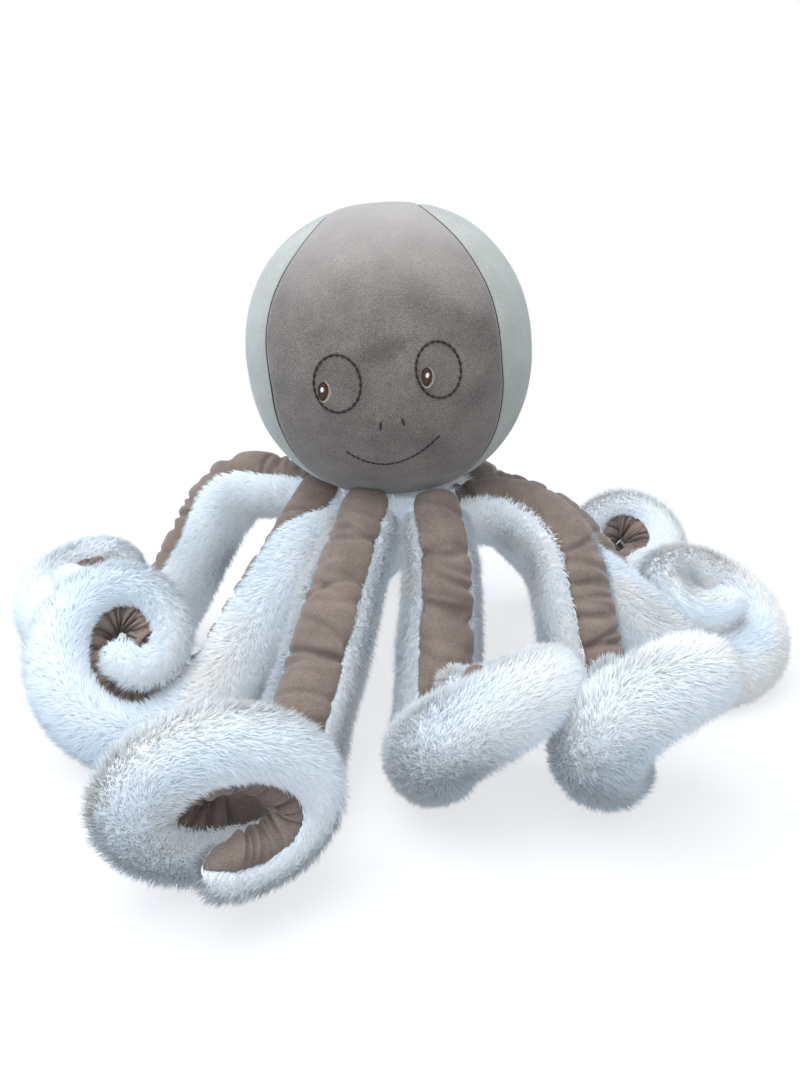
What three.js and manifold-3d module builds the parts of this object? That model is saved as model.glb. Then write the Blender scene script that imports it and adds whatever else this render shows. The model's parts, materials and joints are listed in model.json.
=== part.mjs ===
// Plush octopus: a stuffed ball head sewn to a short body, with eight stuffed, curled arms round it.
// Millimetres, +Z up. The face looks along -Y. The origin is on the ground under the middle of the toy.

import * as THREE from "three";
import Module from "manifold-3d";

const wasm = await Module();
wasm.setup();

const degrees = Math.PI / 180;

// Head: a ball, a little taller than wide, leaning as it does on its soft seam. It is seated in the body's
// top, as deep as headSeat.
const headWidth = 180;
const headDepth = 178;
const headHeight = 187;
const headSeat = 16.5;
const headLean = 5;
const headYaw = -5;
const velourWall = 2.5;

// Face gusset: half widths, measured over the cloth, of the velour band that runs from the chin over the
// crown and down the nape
const gussetHalfAtCheeks = 88.7;
const gussetHalfAtCrown = 29.5;
const gussetHalfAtNape = 31.7;
const gussetHalfAtNeck = 31.7;
const neckOpening = 62;

// Body under the head: the piece that the arms and the head are sewn to
const bodyRadius = 43;
const bodyBottomRadius = 30;
const bodyHeight = 46;
const bodyBottomSlope = 14;
const basePanelMargin = 3;
const basePanelThickness = 2.5;

// Arms: one pattern for all eight, sewn on in a ring
const rootRingRadius = 55;
const rootHeight = 125;
const rootRadius = 20;
const armRadius = 22.5;
const curlRadius = 19;
const tipRadius = 12;
const swellLength = 80;
const plushWall = 4;
const stripWall = 1.6;
const stripHalfAngle = 60;

// Share of the curl over which the arm thins from its full girth to the girth of the curl
const curlThinning = 0.3;

// Clearances
const seamGap = 0.3;
const rootGap = 0.5;
const restCut = 0.5;

// Half the width of the hole that a drawn-in end leaves
const threadRadius = 0.8;

// How fine the facets are
const stripFacets = 3;
const plushFacets = 7;
const curlStep = 30;
const twistStep = 16;
const bandSteps = 20;
const bandColumns = 6;
const neckSteps = 3;
const sideRings = 4;
const roundFacets = 24;

// How each arm lies, in degrees and millimetres along it, from the root to the tip:
// azimuth: place of the root in the ring, 0 to the front and 90 to the viewer's right
// yaw: sideways turn as it leaves the root, pitch: its slope there
// reach, rootTwist: first straight run, and how far the velour side turns round the arm in it
// kneeLength, knee, kneeTurn: downward bend, with its sideways turn
// armTwist: turn of the velour side in the straight fall to the ground
// footLength, foot, footTurn: upward bend at the ground, with its sideways turn
// rollLength, rollTurn, roll: last run before the curl, with its sideways turn and twist
// curl: how far the end winds, loop, loopEnd: its bend radius at first and at the tip
// oval: how much longer than high the curl lies, drift: its sideways walk from start to tip
// A sideways turn is to the arm's own right hand.
const poses = {
  front_left: {
    azimuth: -22.5, yaw: -4, pitch: -35, reach: 14, rootTwist: 0,
    kneeLength: 40, knee: 8, kneeTurn: 0, armTwist: 0,
    footLength: 34, foot: 48, footTurn: 8, rollLength: 28, rollTurn: 38, roll: -6,
    curl: 375, loop: 38, loopEnd: 25, oval: 0.42, drift: -42,
  },
  front_right: {
    azimuth: 22.5, yaw: 7, pitch: -52, reach: 8, rootTwist: 0,
    kneeLength: 40, knee: 12, kneeTurn: 10, armTwist: -5,
    footLength: 50, foot: 90, footTurn: 36, rollLength: 18, rollTurn: 0, roll: -44,
    curl: 390, loop: 39, loopEnd: 14, oval: -0.15, drift: 26,
  },
  side_left: {
    azimuth: -67.5, yaw: -28, pitch: -45, reach: 24, rootTwist: 50,
    kneeLength: 0, knee: 0, kneeTurn: 0, armTwist: 0,
    footLength: 58, foot: 52, footTurn: -12, rollLength: 0, rollTurn: 0, roll: 0,
    curl: 400, loop: 45, loopEnd: 14, oval: -0.2, drift: -30,
  },
  side_right: {
    azimuth: 67.5, yaw: 0, pitch: 14, reach: 4, rootTwist: 0,
    kneeLength: 72, knee: 72, kneeTurn: 37, armTwist: 0,
    footLength: 50, foot: 60, footTurn: 82, rollLength: 18, rollTurn: 0, roll: -20,
    curl: 390, loop: 37, loopEnd: 14, oval: 0, drift: 27,
  },
  rear_left: {
    azimuth: -112.5, yaw: 0, pitch: 0, reach: 50, rootTwist: 0,
    kneeLength: 42, knee: 64, kneeTurn: -34, armTwist: 0,
    footLength: 42, foot: 58, footTurn: -4, rollLength: 18, rollTurn: 0, roll: 52,
    curl: 395, loop: 37, loopEnd: 15, oval: 0, drift: -32,
  },
  rear_right: {
    azimuth: 112.5, yaw: 32, pitch: -20, reach: 36, rootTwist: 0,
    kneeLength: 40, knee: 24, kneeTurn: 24, armTwist: -74,
    footLength: 56, foot: 50, footTurn: 18, rollLength: 0, rollTurn: 0, roll: 0,
    curl: 395, loop: 47, loopEnd: 16, oval: 0, drift: 26,
  },
  back_left: {
    azimuth: -157.5, yaw: 20, pitch: -30, reach: 16, rootTwist: 0,
    kneeLength: 30, knee: 18, kneeTurn: 0, armTwist: 0,
    footLength: 50, foot: 50, footTurn: 20, rollLength: 0, rollTurn: 0, roll: 0,
    curl: 400, loop: 46, loopEnd: 14, oval: 0, drift: 38,
  },
  back_right: {
    azimuth: 157.5, yaw: 20, pitch: -14, reach: 24, rootTwist: 0,
    kneeLength: 46, knee: 34, kneeTurn: 26, armTwist: 0,
    footLength: 50, foot: 48, footTurn: 20, rollLength: 20, rollTurn: 0, roll: -34,
    curl: 400, loop: 42, loopEnd: 14, oval: -0.2, drift: -32,
  },
};

const velour = { color: 0x8f8078, roughness: 0.9, metalness: 0 };
const shortPlush = { color: 0xe4e2da, roughness: 0.9, metalness: 0 };
const longPlush = { color: 0xf2f3f2, roughness: 0.95, metalness: 0 };
const fibre = { color: 0xfafafa, roughness: 1, metalness: 0 };

function anglesBetween(from, to, count) {
  return Array.from({ length: count + 1 }, (_, i) => from + ((to - from) * i) / count);
}

// Closed bodies

function closedGeometry(positions, faces) {
  const geometry = new THREE.BufferGeometry();
  geometry.setAttribute("position", new THREE.Float32BufferAttribute(positions, 3));
  geometry.setIndex(faces);
  return geometry;
}

function solidOf(geometry) {
  return new wasm.Manifold(new wasm.Mesh({
    numProp: 3,
    vertProperties: new Float32Array(geometry.attributes.position.array),
    triVerts: new Uint32Array(geometry.index.array),
  }));
}

function geometryOf(solid) {
  const mesh = solid.getMesh();
  return closedGeometry(Array.from(mesh.vertProperties), Array.from(mesh.triVerts));
}

// Triangles that fill a section, seen with its points running anticlockwise.
function capFaces(section) {
  const middle = section.reduce((sum, p) => sum.add(p), new THREE.Vector3()).divideScalar(section.length);
  const normal = new THREE.Vector3();
  section.forEach((p, i) => {
    const next = section[(i + 1) % section.length];
    normal.add(new THREE.Vector3().subVectors(p, middle).cross(new THREE.Vector3().subVectors(next, middle)));
  });
  normal.normalize();
  const across = new THREE.Vector3().subVectors(section[0], middle);
  across.addScaledVector(normal, -across.dot(normal)).normalize();
  const up = new THREE.Vector3().crossVectors(normal, across);
  const flat = section.map((p) => {
    const from = new THREE.Vector3().subVectors(p, middle);
    return new THREE.Vector2(from.dot(across), from.dot(up));
  });
  return THREE.ShapeUtils.triangulateShape(flat, []);
}

// Joins a row of closed sections, each with the same number of points, and caps both ends.
// From the point named lining on, the facets are split the other way, to lie as those they line.
function loft(sections, lining = Infinity) {
  const count = sections[0].length;
  const positions = sections.flat().flatMap((point) => point.toArray());
  const faces = [];
  for (let ring = 0; ring + 1 < sections.length; ring += 1) {
    for (let i = 0; i < count; i += 1) {
      const a = ring * count + i;
      const b = ring * count + ((i + 1) % count);
      if (i < lining) faces.push(a, b, b + count, a, b + count, a + count);
      else faces.push(a, b, a + count, b, b + count, a + count);
    }
  }
  const last = (sections.length - 1) * count;
  for (const [a, b, c] of capFaces(sections[0])) faces.push(a, c, b);
  for (const [a, b, c] of capFaces(sections.at(-1))) faces.push(last + a, last + b, last + c);
  return closedGeometry(positions, faces);
}

// Head

// A point of the head's ball. The band angle runs from the face over the crown to the nape,
// the side angle from the middle plane towards the viewer's right or, below zero, left.
function headPoint(band, side, inset) {
  const b = band * degrees;
  const s = side * degrees;
  return new THREE.Vector3(
    (headWidth / 2 - inset) * Math.sin(s),
    -(headDepth / 2 - inset) * Math.cos(s) * Math.cos(b),
    (headHeight / 2 - inset) * Math.cos(s) * Math.sin(b),
  );
}

const bandAtCheeks = 0;
const bandAtCrown = 90;
const bandAtNape = 200;
const neckHalfBand = Math.asin(neckOpening / headDepth) / degrees;
const bandStart = -90 + neckHalfBand;
const bandEnd = 270 - neckHalfBand;

// Half width of the gusset along its band
function gussetHalf(band) {
  const { lerp, smoothstep } = THREE.MathUtils;
  if (band < bandAtCheeks) {
    const share = Math.max(0, (band - bandStart) / (bandAtCheeks - bandStart));
    return lerp(gussetHalfAtNeck, gussetHalfAtCheeks, Math.sin(share * 90 * degrees));
  }
  if (band < bandAtCrown) {
    return lerp(gussetHalfAtCheeks, gussetHalfAtCrown, smoothstep(band, bandAtCheeks, bandAtCrown));
  }
  if (band < bandAtNape) {
    return lerp(gussetHalfAtCrown, gussetHalfAtNape, smoothstep(band, bandAtCrown, bandAtNape));
  }
  return lerp(gussetHalfAtNape, gussetHalfAtNeck, smoothstep(band, bandAtNape, bandEnd));
}

const gussetSide = (band) => (gussetHalf(band) / (headWidth / 2)) / degrees;
const seamSide = (seamGap / (headWidth / 2)) / degrees;
const gussetBands = anglesBetween(bandStart, bandEnd, bandSteps);
const neckBands = anglesBetween(bandEnd, bandStart + 360, neckSteps).slice(1, -1);
const sideBands = [...gussetBands, ...neckBands];

// The gusset is a loft of slices across it: the outer face one way and the lining back.
function makeGusset() {
  return loft(gussetBands.map((band) => {
    const half = gussetSide(band);
    const sides = anglesBetween(-half, half, bandColumns);
    const outer = sides.map((side) => headPoint(band, side, 0));
    const lining = sides.map((side) => headPoint(band, side, velourWall));
    return [...outer, ...lining.reverse()];
  }));
}

// A side panel closes the ball beside the gusset: rings from the middle of the side to the seam.
function makeSidePanel(sign) {
  const positions = [];
  const faces = [];
  const count = sideBands.length;
  const layer = 1 + sideRings * count;
  for (const inset of [0, velourWall]) {
    positions.push(...headPoint(0, sign * 90, inset).toArray());
    for (let ring = 1; ring <= sideRings; ring += 1) {
      for (const band of sideBands) {
        const side = THREE.MathUtils.lerp(90, gussetSide(band) + seamSide, ring / sideRings);
        positions.push(...headPoint(band, sign * side, inset).toArray());
      }
    }
  }
  const at = (ring, i) => 1 + (ring - 1) * count + (i % count);
  const face = (a, b, c) => faces.push(...(sign > 0 ? [a, c, b] : [a, b, c]));
  for (let i = 0; i < count; i += 1) {
    face(0, at(1, i), at(1, i + 1));
    face(layer, layer + at(1, i + 1), layer + at(1, i));
    for (let ring = 1; ring < sideRings; ring += 1) {
      const [a, b, c, d] = [at(ring, i), at(ring, i + 1), at(ring + 1, i + 1), at(ring + 1, i)];
      face(a, c, b);
      face(a, d, c);
      face(layer + a, layer + b, layer + c);
      face(layer + a, layer + c, layer + d);
    }
    const [a, b] = [at(sideRings, i), at(sideRings, i + 1)];
    face(a, layer + b, b);
    face(a, layer + a, layer + b);
  }
  return closedGeometry(positions, faces);
}

function makeBall(inset) {
  const sections = [];
  const rows = roundFacets / 2;
  const bands = anglesBetween(360, 0, roundFacets).slice(1);
  for (let row = 1; row < rows; row += 1) {
    const side = -90 + (180 * row) / rows;
    sections.push(bands.map((band) => headPoint(band, side, inset)));
  }
  return loft(sections);
}

// How far flat facets cut in from a round form, for the two spans of angle that one facet covers
const facetDepth = (radius, stepA, stepB) => (
  radius * (1 - Math.cos((stepA / 2) * degrees) * Math.cos((stepB / 2) * degrees))
);
const roundStep = 360 / roundFacets;
const bandStep = (bandEnd - bandStart) / bandSteps;
const columnStep = (2 * gussetSide(bandAtCheeks)) / bandColumns;
const headFillingInset = velourWall + seamGap + facetDepth(headHeight / 2, bandStep, columnStep);
const headClearance = seamGap + facetDepth(headHeight / 2, roundStep, roundStep);

const bodyTop = rootHeight + bodyHeight / 2;
const bodyBottom = rootHeight - bodyHeight / 2;

const head = new THREE.Group();
head.position.z = bodyTop + headHeight / 2 - headSeat;
head.rotation.set(0, -headLean * degrees, headYaw * degrees, "ZYX");
head.updateMatrix();

// Arms

// A frame that walks along the arm's middle line: ahead, side and up, where up is the velour side.
class Walker {
  constructor(pose) {
    const azimuth = pose.azimuth * degrees;
    const outward = new THREE.Vector3(Math.sin(azimuth), -Math.cos(azimuth), 0);
    this.place = outward.clone().multiplyScalar(rootRingRadius).setZ(rootHeight);
    this.ahead = outward.clone();
    this.up = new THREE.Vector3(0, 0, 1);
    this.side = new THREE.Vector3().crossVectors(this.ahead, this.up);
    this.turnBy(0, pose.yaw, 0);
    this.turnBy(pose.pitch, 0, 0);
  }

  turnBy(bend, turn, twist) {
    this.ahead.applyAxisAngle(this.side, bend * degrees);
    this.up.applyAxisAngle(this.side, bend * degrees);
    this.ahead.applyAxisAngle(this.up, -turn * degrees);
    this.side.applyAxisAngle(this.up, -turn * degrees);
    this.up.applyAxisAngle(this.ahead, twist * degrees);
    this.side.applyAxisAngle(this.ahead, twist * degrees);
  }

  step(length, bend, turn, twist) {
    this.turnBy(bend / 2, turn / 2, twist / 2);
    this.place.addScaledVector(this.ahead, length);
    this.turnBy(bend / 2, turn / 2, twist / 2);
  }

  // A ring across the arm here, or a little ahead of here
  ring(along, radius, ahead = 0) {
    return {
      along: along + ahead,
      radius,
      place: this.place.clone().addScaledVector(this.ahead, ahead),
      ahead: this.ahead.clone(),
      side: this.side.clone(),
      up: this.up.clone(),
    };
  }
}

// The stretches of an arm after its root, with the bend, turn and twist that each makes
function stretches(pose, fall) {
  const twisted = (twist) => Math.ceil(Math.abs(twist) / twistStep);
  return [
    { length: pose.reach, bend: 0, turn: 0, twist: pose.rootTwist, steps: Math.max(1, twisted(pose.rootTwist)) },
    { length: pose.kneeLength, bend: -pose.knee, turn: pose.kneeTurn, twist: 0, steps: pose.kneeLength ? 3 : 0 },
    { length: fall, bend: 0, turn: 0, twist: pose.armTwist, steps: Math.max(2, twisted(pose.armTwist)) },
    { length: pose.footLength, bend: pose.foot, turn: pose.footTurn, twist: 0, steps: 3 },
    {
      length: pose.rollLength, bend: 0, turn: pose.rollTurn, twist: pose.roll,
      steps: pose.rollLength ? Math.max(2, twisted(pose.roll)) : 0,
    },
  ];
}

// Angles of the rings that round off the root and the tip
const rootRings = [28, 58, 90];
const tipRings = [35, 65];

// Rings along the middle line, with the radius of the plush at each
function armRings(pose, fall) {
  const { lerp, smoothstep } = THREE.MathUtils;
  const walker = new Walker(pose);
  const rings = rootRings.map((angle) => walker.ring(
    0, rootRadius * Math.sin(angle * degrees), -rootRadius * Math.cos(angle * degrees),
  ));
  let along = 0;
  for (const { length, bend, turn, twist, steps } of stretches(pose, fall)) {
    for (let i = 0; i < steps; i += 1) {
      walker.step(length / steps, bend / steps, turn / steps, twist / steps);
      along += length / steps;
      rings.push(walker.ring(along, lerp(rootRadius, armRadius, smoothstep(along, 0, swellLength))));
    }
  }
  const steps = Math.round(pose.curl / curlStep);
  const step = pose.curl / steps;
  for (let i = 0; i < steps; i += 1) {
    const share = (i + 0.5) / steps;
    const flattening = 1 + pose.oval * Math.cos(2 * share * pose.curl * degrees);
    const bendRadius = lerp(pose.loop, pose.loopEnd, share) * flattening;
    const length = 2 * bendRadius * Math.sin((step / 2) * degrees);
    walker.step(length, step, 0, 0);
    walker.place.addScaledVector(walker.side, pose.drift / steps);
    along += length;
    const end = (i + 1) / steps;
    const radius = end < curlThinning
      ? lerp(armRadius, curlRadius, end / curlThinning)
      : lerp(curlRadius, tipRadius, (end - curlThinning) / (1 - curlThinning));
    rings.push(walker.ring(along, radius));
  }
  for (const angle of tipRings) {
    rings.push(walker.ring(along, tipRadius * Math.cos(angle * degrees), tipRadius * Math.sin(angle * degrees)));
  }
  return rings;
}

// A point beside the middle line. Angle 0 is the middle of the velour strip.
function ringPoint(ring, angle, radius, sideways = 0) {
  const a = angle * degrees;
  const up = radius * Math.cos(a) - sideways * Math.sin(a);
  const side = radius * Math.sin(a) + sideways * Math.cos(a);
  return ring.place.clone().addScaledVector(ring.up, up).addScaledVector(ring.side, side);
}

const stripAngles = anglesBetween(-stripHalfAngle, stripHalfAngle, stripFacets);
const plushAngles = anglesBetween(stripHalfAngle, 360 - stripHalfAngle, plushFacets);
const fillingAngles = [...stripAngles.slice(0, -1), ...plushAngles.slice(0, -1)];
const fillingRadius = (ring) => ring.radius - plushWall - seamGap;

// The section of a cover: an outer arc and, back along it, the arc that lies on the filling.
// At the root and the tip the cover is drawn in round the end of the filling, to a thread's width.
function coverSection(ring, angles, wall, drawnIn) {
  const inner = drawnIn ? threadRadius : ring.radius - plushWall;
  const outer = Math.max(inner + threadRadius, ring.radius - plushWall + wall);
  const edge = (i) => (i === 0 ? seamGap / 2 : i === angles.length - 1 ? -seamGap / 2 : 0);
  const outerArc = angles.map((angle, i) => ringPoint(ring, angle, outer, edge(i)));
  const innerArc = angles.map((angle, i) => ringPoint(ring, angle, inner, edge(i)));
  return [...outerArc, ...innerArc.reverse()];
}

function lowestPoint(rings) {
  return Math.min(...rings.flatMap((ring) => plushAngles.map((angle) => ringPoint(ring, angle, ring.radius).z)));
}

// The straight fall is as long as brings the arm's underside to the ground.
function armPath(pose) {
  const trial = 60;
  const height = lowestPoint(armRings(pose, trial));
  const slope = lowestPoint(armRings(pose, trial + 1)) - height;
  return armRings(pose, trial - (height + restCut) / slope);
}

function makeCover(path, angles, wall) {
  const isDrawnIn = (i) => i === 0 || i >= path.length - tipRings.length;
  return loft(path.map((ring, i) => coverSection(ring, angles, wall, isDrawnIn(i))), angles.length);
}

function makeFilling(path) {
  const stuffed = path.slice(1, -tipRings.length);
  return loft(stuffed.map((ring) => fillingAngles.map((angle) => ringPoint(ring, angle, fillingRadius(ring)))));
}

// The plush is pressed flat where it stands on the ground.
function pressedFlat(geometry) {
  geometry.computeBoundingBox();
  const { min, max } = geometry.boundingBox;
  const corners = [[min.x, min.y], [max.x, min.y], [max.x, max.y], [min.x, max.y]];
  const square = (height) => corners.map(([x, y]) => new THREE.Vector3(x, y, height));
  return geometryOf(solidOf(geometry).subtract(solidOf(loft([square(min.z - restCut), square(0)]))));
}

// Body

// A stack of round slices, each given as its radius and its height
function roundStack(slices) {
  const turns = anglesBetween(0, 360, roundFacets).slice(1);
  return loft(slices.map(([radius, height]) => turns.map(
    (turn) => new THREE.Vector3(radius * Math.cos(turn * degrees), radius * Math.sin(turn * degrees), height),
  )));
}

function roundBall(radius) {
  const grown = radius + facetDepth(radius, roundStep, roundStep);
  return roundStack(anglesBetween(-90, 90, roundFacets / 2).slice(1, -1).map(
    (row) => [grown * Math.cos(row * degrees), grown * Math.sin(row * degrees)],
  ));
}

// The hub is hollowed by the head above it and by the round root of each arm.
function makeBody() {
  let hub = solidOf(roundStack([
    [bodyBottomRadius, bodyBottom],
    [bodyRadius, bodyBottom + bodyBottomSlope],
    [bodyRadius, bodyTop],
  ]));
  hub = hub.subtract(solidOf(makeBall(-headClearance).applyMatrix4(head.matrix)));
  for (const pose of Object.values(poses)) {
    const { place } = new Walker(pose);
    hub = hub.subtract(solidOf(roundBall(rootRadius + rootGap).translate(place.x, place.y, place.z)));
  }
  return geometryOf(hub);
}

function makeBasePanel() {
  const top = bodyBottom - seamGap;
  const radius = bodyBottomRadius - basePanelMargin;
  return roundStack([[radius, top - basePanelThickness], [radius, top]]);
}

// The toy

function addPiece(group, name, geometry, look) {
  const mesh = new THREE.Mesh(geometry, new THREE.MeshStandardMaterial(look));
  mesh.name = name;
  group.add(mesh);
}

addPiece(head, "head_filling", makeBall(headFillingInset), fibre);
addPiece(head, "head_face_panel", makeGusset(), velour);
addPiece(head, "head_side_panel_left", makeSidePanel(-1), shortPlush);
addPiece(head, "head_side_panel_right", makeSidePanel(1), shortPlush);

const toy = new THREE.Group();
toy.add(head);
addPiece(toy, "body_core", makeBody(), longPlush);
addPiece(toy, "base_panel", makeBasePanel(), velour);
for (const [name, pose] of Object.entries(poses)) {
  const path = armPath(pose);
  addPiece(toy, `arm_${name}_plush`, pressedFlat(makeCover(path, plushAngles, plushWall)), longPlush);
  addPiece(toy, `arm_${name}_strip`, makeCover(path, stripAngles, stripWall), velour);
  addPiece(toy, `arm_${name}_filling`, makeFilling(path), fibre);
}

// The toy is set with the middle of its outline over the origin.
const outline = new THREE.Box3().setFromObject(toy);
toy.position.set(-(outline.min.x + outline.max.x) / 2, -(outline.min.y + outline.max.y) / 2, 0);

export default toy;
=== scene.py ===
import json
import math

import bmesh
import bpy
import numpy as np
from mathutils import Matrix, Quaternion, Vector
from mathutils.bvhtree import BVHTree
from mathutils.noise import noise

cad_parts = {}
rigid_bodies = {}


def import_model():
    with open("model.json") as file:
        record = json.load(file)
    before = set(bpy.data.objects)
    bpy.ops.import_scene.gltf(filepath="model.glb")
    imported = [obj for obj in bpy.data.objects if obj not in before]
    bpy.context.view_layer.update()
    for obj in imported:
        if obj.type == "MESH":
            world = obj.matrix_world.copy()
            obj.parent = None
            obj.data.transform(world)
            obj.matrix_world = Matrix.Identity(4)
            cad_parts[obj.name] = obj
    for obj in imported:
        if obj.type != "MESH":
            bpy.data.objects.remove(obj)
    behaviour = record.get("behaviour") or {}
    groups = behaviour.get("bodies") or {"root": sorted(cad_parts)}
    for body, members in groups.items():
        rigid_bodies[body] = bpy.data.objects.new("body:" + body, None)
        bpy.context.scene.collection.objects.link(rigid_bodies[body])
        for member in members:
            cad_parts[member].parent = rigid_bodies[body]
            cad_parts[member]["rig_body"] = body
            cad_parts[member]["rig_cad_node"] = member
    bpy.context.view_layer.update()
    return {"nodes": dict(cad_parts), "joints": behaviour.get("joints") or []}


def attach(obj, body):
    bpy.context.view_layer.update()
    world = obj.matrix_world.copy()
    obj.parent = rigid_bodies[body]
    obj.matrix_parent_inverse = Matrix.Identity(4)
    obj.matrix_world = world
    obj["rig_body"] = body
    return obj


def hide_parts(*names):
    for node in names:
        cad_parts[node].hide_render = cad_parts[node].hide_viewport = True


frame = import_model()

# Where the toy stands: the eight arm roots lie in a ring, and the middle of that ring is the point under
# the head from which every piece below is measured. All sizes are metres.
mm = 0.001
root_places = [Vector(joint["pos_m"]) for joint in frame["joints"]]
toy_middle = sum(root_places, Vector()) / len(root_places)
toy_middle.z = 0

# Camera: it stands half a metre in front of the toy, about as high as the crown of the head, and looks
# down at it. The focal length is in pixels of the 800 by 1067 picture.
picture_width = 800
picture_height = 1067
focal_pixels = 870
sensor_height = 36
camera_back = 544.5 * mm
camera_height = 300 * mm
camera_dip = math.radians(20)

camera_place = toy_middle + Vector((0, -camera_back, camera_height))
bpy.ops.object.camera_add(location=camera_place, rotation=(math.pi / 2 - camera_dip, 0, 0))
camera = bpy.context.object
camera.name = "camera"
camera.data.sensor_fit = "VERTICAL"
camera.data.sensor_height = sensor_height
camera.data.lens = focal_pixels / picture_height * sensor_height
camera.data.clip_start = 0.01
bpy.context.scene.camera = camera


def ray_through(x, y):
    """The direction from the camera through a pixel of the picture."""
    across = (x - picture_width / 2) / focal_pixels
    down = (y - picture_height / 2) / focal_pixels
    return (camera.rotation_euler.to_matrix() @ Vector((across, -down, -1))).normalized()


# Head: a stuffed ball of three velour panels, a taupe one that runs from the chin over the crown and down
# the nape, and a pale one on each side. It sits in the body's top and leans, and its seams are drawn in.
head_width = 174 * mm
head_depth = 172 * mm
head_height = 173 * mm
head_fullness = 2.2
head_seat = 12.5 * mm
body_top = 148 * mm
head_lean = math.radians(5)
head_yaw = math.radians(-2)
seam_draw = 1.2 * mm
seam_spread = 1.5 * mm
panel_thickness = 1.6 * mm
head_bands = 160
head_rows = 60
seam_row = 18
row_crowding = 1.6
lump_height, lumps_per_metre = 0.7 * mm, 22
ripple_height, ripples_per_metre = 0.3 * mm, 60

# Half widths of the taupe panel over the cloth, in millimetres, at angles round the head: 0 is the face, 90
# the crown and 180 the nape. Each corner between them is eased over 16 degrees.
seam_angles = [-69, -60, -54, -43, -33, -23, -11, 10, 21, 30, 37, 44, 53, 64, 72, 88, 200, 249]
seam_halves = [35, 47, 53, 62, 66.5, 70, 71.5, 71, 69, 65.5, 61, 55, 46, 35.5, 29, 24, 26, 32]
corner_easing = range(-8, 9, 2)

head_matrix = (
    Matrix.Translation(toy_middle + Vector((0, 0, body_top)))
    @ Matrix.Rotation(head_yaw, 4, "Z")
    @ Matrix.Rotation(-head_lean, 4, "Y")
    @ Matrix.Translation((0, 0, head_height / 2 - head_seat))
)
head_half = Vector((head_width / 2, head_depth / 2, head_height / 2))


def smooth(value, low, high):
    """Rises smoothly from 0 at low to 1 at high."""
    share = min(max((value - low) / (high - low), 0), 1)
    return share * share * (3 - 2 * share)


def between(a, b, share):
    """The value at a share of the way from a to b."""
    return a + (b - a) * share


def seam_half(band):
    """Half the taupe panel's width, over the cloth, at an angle round the head."""
    near = [band + step for step in corner_easing]
    return float(np.interp(near, seam_angles, seam_halves).mean()) * mm


def head_shape(side, band, row_from_seam):
    """A point of the head's outer face, in the head's own frame, and the way out from it.

    Side is its angle to the left or right, and band its angle round the head, as for the seams.
    """
    s, b = math.radians(side), math.radians(band)
    share = Vector((math.sin(s), -math.cos(s) * math.cos(b), math.cos(s) * math.sin(b)))
    share *= sum(abs(part) ** head_fullness for part in share) ** (-1 / head_fullness)
    point = Vector([share[k] * head_half[k] for k in range(3)])
    steep = [math.copysign(abs(share[k]) ** (head_fullness - 1), share[k]) / head_half[k] for k in range(3)]
    out = Vector(steep).normalized()
    push = lump_height * noise(point * lumps_per_metre) + ripple_height * noise(point * ripples_per_metre)
    push -= seam_draw * math.exp(-((row_from_seam / seam_spread) ** 2))
    return point + out * push, out


# The ball's rows of points are moved so that one row lies under each seam, and crowd towards it.
bpy.ops.mesh.primitive_uv_sphere_add(segments=head_bands, ring_count=head_rows, radius=1)
head_ball = bpy.context.object
rows = {}
ways_out = {}
for vertex in head_ball.data.vertices:
    side = math.degrees(math.asin(min(max(vertex.co.z, -1), 1)))
    band = math.degrees(math.atan2(vertex.co.y, vertex.co.x)) % 360
    band = band - 360 if band > 270 else band
    row = abs(side) / (180 / head_rows)
    seam_side = math.degrees(seam_half(band) / (head_width / 2))
    if row <= seam_row:
        share = 1 - (1 - row / seam_row) ** row_crowding
        new_side = seam_side * share
    else:
        share = ((row - seam_row) / (head_rows / 2 - seam_row)) ** row_crowding
        new_side = seam_side + (90 - seam_side) * share
    from_seam = math.radians(abs(new_side - seam_side)) * head_width / 2
    rows[vertex.index] = row
    vertex.co, ways_out[vertex.index] = head_shape(math.copysign(new_side, side), band, from_seam)

# A soft dent with a low ridge over it runs down between the eyes, and shallow dents lie over the brow, in
# the cheek and by the chin. Each has the pixel that it is seen at, its slant in degrees, half its length and
# width, and its depth.
dent_reach = 3
dents = [
    ((391, 357), -27, 15 * mm, 5.5 * mm, 3.0 * mm),
    ((398, 343), -27, 13 * mm, 5.5 * mm, -0.9 * mm),
    ((345, 300), 20, 26 * mm, 15 * mm, 1.4 * mm),
    ((452, 330), 50, 20 * mm, 10 * mm, 0.9 * mm),
    ((300, 425), 60, 24 * mm, 13 * mm, 1.3 * mm),
    ((440, 455), 15, 24 * mm, 10 * mm, 1.1 * mm),
]
into_head = head_matrix.inverted()
round_ball = BVHTree.FromPolygons(
    [v.co for v in head_ball.data.vertices], [f.vertices for f in head_ball.data.polygons],
)
for (x, y), slant, long, wide, depth in dents:
    hit, out, _, _ = round_ball.ray_cast(into_head @ camera_place, into_head.to_3x3() @ ray_through(x, y))
    right = out.cross(Vector((0, 0, 1))).normalized() * -1
    up = out.cross(right)
    turn = math.radians(slant)
    along = right * math.cos(turn) + up * math.sin(turn)
    across = out.cross(along)
    for vertex in head_ball.data.vertices:
        away = vertex.co - hit
        if away.length < dent_reach * long:
            push = depth * math.exp(-((away.dot(along) / long) ** 2) - (away.dot(across) / wide) ** 2)
            vertex.co -= ways_out[vertex.index] * push

bpy.ops.object.mode_set(mode="EDIT")
bpy.ops.mesh.normals_make_consistent(inside=False)
bpy.ops.object.mode_set(mode="OBJECT")
head_ball.data.transform(head_matrix)


def select_only(*pieces):
    """Selects these pieces and nothing else, with the first of them active."""
    bpy.ops.object.select_all(action="DESELECT")
    for piece in pieces:
        piece.select_set(True)
    bpy.context.view_layer.objects.active = pieces[0]


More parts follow.
